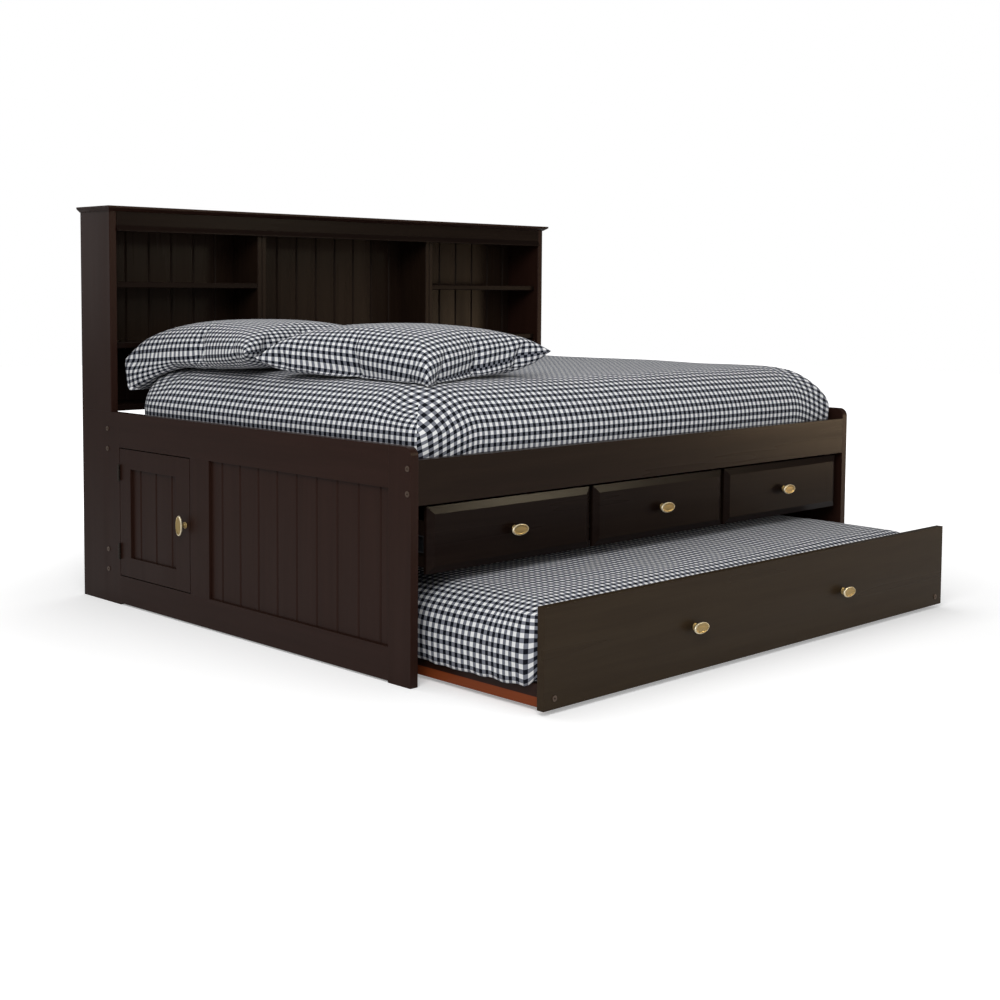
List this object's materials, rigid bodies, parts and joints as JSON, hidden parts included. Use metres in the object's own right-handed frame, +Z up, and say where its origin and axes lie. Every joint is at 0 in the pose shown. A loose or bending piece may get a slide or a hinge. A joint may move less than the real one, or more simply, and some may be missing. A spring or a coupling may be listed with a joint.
{
  "type": "trundle bed",
  "caption": "Day bed with a bookcase along its back, a row of drawers, a side storage door and a pull-out trundle with its own mattress, dressed with gingham bedding.",
  "frame": {"origin": "On the floor under the middle of the box round the bed with its trundle pulled out as at rest", "axes": "+X along the length of the bed, from the pillow end to the foot; +Y from the trundle front to the bookcase back; +Z up"},
  "size_m": [1.995, 2.007, 1.245],
  "materials": {
    "frame_wood": "dark espresso stain, satin lacquer",
    "bookcase_wood": "dark espresso stain, satin lacquer",
    "front_wood": "dark espresso stain, satin lacquer",
    "inner_wood": "thin espresso stain, dull",
    "antique_brass": "antique brass, brushed high spots",
    "runner_steel": "zinc plated, dull",
    "wheel_rubber": "moulded, matt",
    "gingham_cloth": "navy and white gingham check, plain cotton weave"
  },
  "bodies": {
    "bed_frame": {"left_stiles": "frame_wood", "left_rails": "frame_wood", "left_bead_panel": "frame_wood", "right_stiles": "frame_wood", "right_rails": "frame_wood", "right_bead_panels": "frame_wood", "rear_side_boards": "frame_wood", "front_rail": "frame_wood", "rear_upper_rail": "frame_wood", "rear_lower_rail": "frame_wood", "slat_cleats": "inner_wood", "slats": "inner_wood", "bookcase_sides": "bookcase_wood", "bookcase_cap": "bookcase_wood", "fascia": "bookcase_wood", "fascia_moulding": "bookcase_wood", "bookcase_dividers": "bookcase_wood", "upper_shelves": "bookcase_wood", "lower_shelves": "bookcase_wood", "bookcase_floor": "bookcase_wood", "bookcase_back": "bookcase_wood", "case_boards": "inner_wood", "case_back": "inner_wood", "case_runners": "runner_steel", "storage_partition": "inner_wood", "storage_floor": "inner_wood", "storage_back": "inner_wood", "frame_bolts": "antique_brass", "frame_hinges": "antique_brass", "door_catch": "runner_steel", "mattress": "gingham_cloth", "pillow_back": "gingham_cloth", "pillow_front": "gingham_cloth"},
    "door": {"door_frame": "frame_wood", "door_panel": "frame_wood", "door_knob": "antique_brass", "door_hinges": "antique_brass"},
    "drawer_left": {"drawer_left_front": "front_wood", "drawer_left_box": "inner_wood", "drawer_left_runners": "runner_steel", "drawer_left_knob": "antique_brass"},
    "drawer_middle": {"drawer_mid_front": "front_wood", "drawer_mid_box": "inner_wood", "drawer_mid_runners": "runner_steel", "drawer_mid_knob": "antique_brass"},
    "drawer_right": {"drawer_right_front": "front_wood", "drawer_right_box": "inner_wood", "drawer_right_runners": "runner_steel", "drawer_right_knob": "antique_brass"},
    "trundle": {"trundle_front": "front_wood", "trundle_frame": "inner_wood", "trundle_deck": "inner_wood", "trundle_knobs": "antique_brass", "trundle_bolts": "antique_brass", "caster_brackets": "runner_steel", "trundle_mattress": "gingham_cloth"},
    "wheel_front_left": {"wheel_front_left": "wheel_rubber"},
    "wheel_front_right": {"wheel_front_right": "wheel_rubber"},
    "wheel_back_left": {"wheel_back_left": "wheel_rubber"},
    "wheel_back_right": {"wheel_back_right": "wheel_rubber"}
  },
  "joints": [
    {"name": "trundle_slide", "type": "slide", "parent": "bed_frame", "child": "trundle", "axis": [0, -1, 0], "range_m": [-0.401, 0.6]},
    {"name": "drawer_left_slide", "type": "slide", "parent": "bed_frame", "child": "drawer_left", "axis": [0, -1, 0], "range_m": [0, 0.35]},
    {"name": "drawer_middle_slide", "type": "slide", "parent": "bed_frame", "child": "drawer_middle", "axis": [0, -1, 0], "range_m": [0, 0.35]},
    {"name": "drawer_right_slide", "type": "slide", "parent": "bed_frame", "child": "drawer_right", "axis": [0, -1, 0], "range_m": [0, 0.35]},
    {"name": "door_hinge", "type": "hinge", "parent": "bed_frame", "child": "door", "pos_m": [-0.9769, 0.779, 0.2935], "axis": [0, 0, -1], "range_deg": [0, 105]},
    {"name": "wheel_front_left_spin", "type": "hinge", "parent": "trundle", "child": "wheel_front_left", "pos_m": [-0.7995, -0.91, 0.022], "axis": [1, 0, 0], "continuous": true},
    {"name": "wheel_front_right_spin", "type": "hinge", "parent": "trundle", "child": "wheel_front_right", "pos_m": [0.8105, -0.91, 0.022], "axis": [1, 0, 0], "continuous": true},
    {"name": "wheel_back_left_spin", "type": "hinge", "parent": "trundle", "child": "wheel_back_left", "pos_m": [-0.7995, -0.047, 0.022], "axis": [1, 0, 0], "continuous": true},
    {"name": "wheel_back_right_spin", "type": "hinge", "parent": "trundle", "child": "wheel_back_right", "pos_m": [0.8105, -0.047, 0.022], "axis": [1, 0, 0], "continuous": true}
  ],
  "couplings": [
    {"joint": "wheel_front_left_spin", "follows": "trundle_slide", "rad_per_m": 45.455},
    {"joint": "wheel_front_right_spin", "follows": "trundle_slide", "rad_per_m": 45.455},
    {"joint": "wheel_back_left_spin", "follows": "trundle_slide", "rad_per_m": 45.455},
    {"joint": "wheel_back_right_spin", "follows": "trundle_slide", "rad_per_m": 45.455}
  ]
}
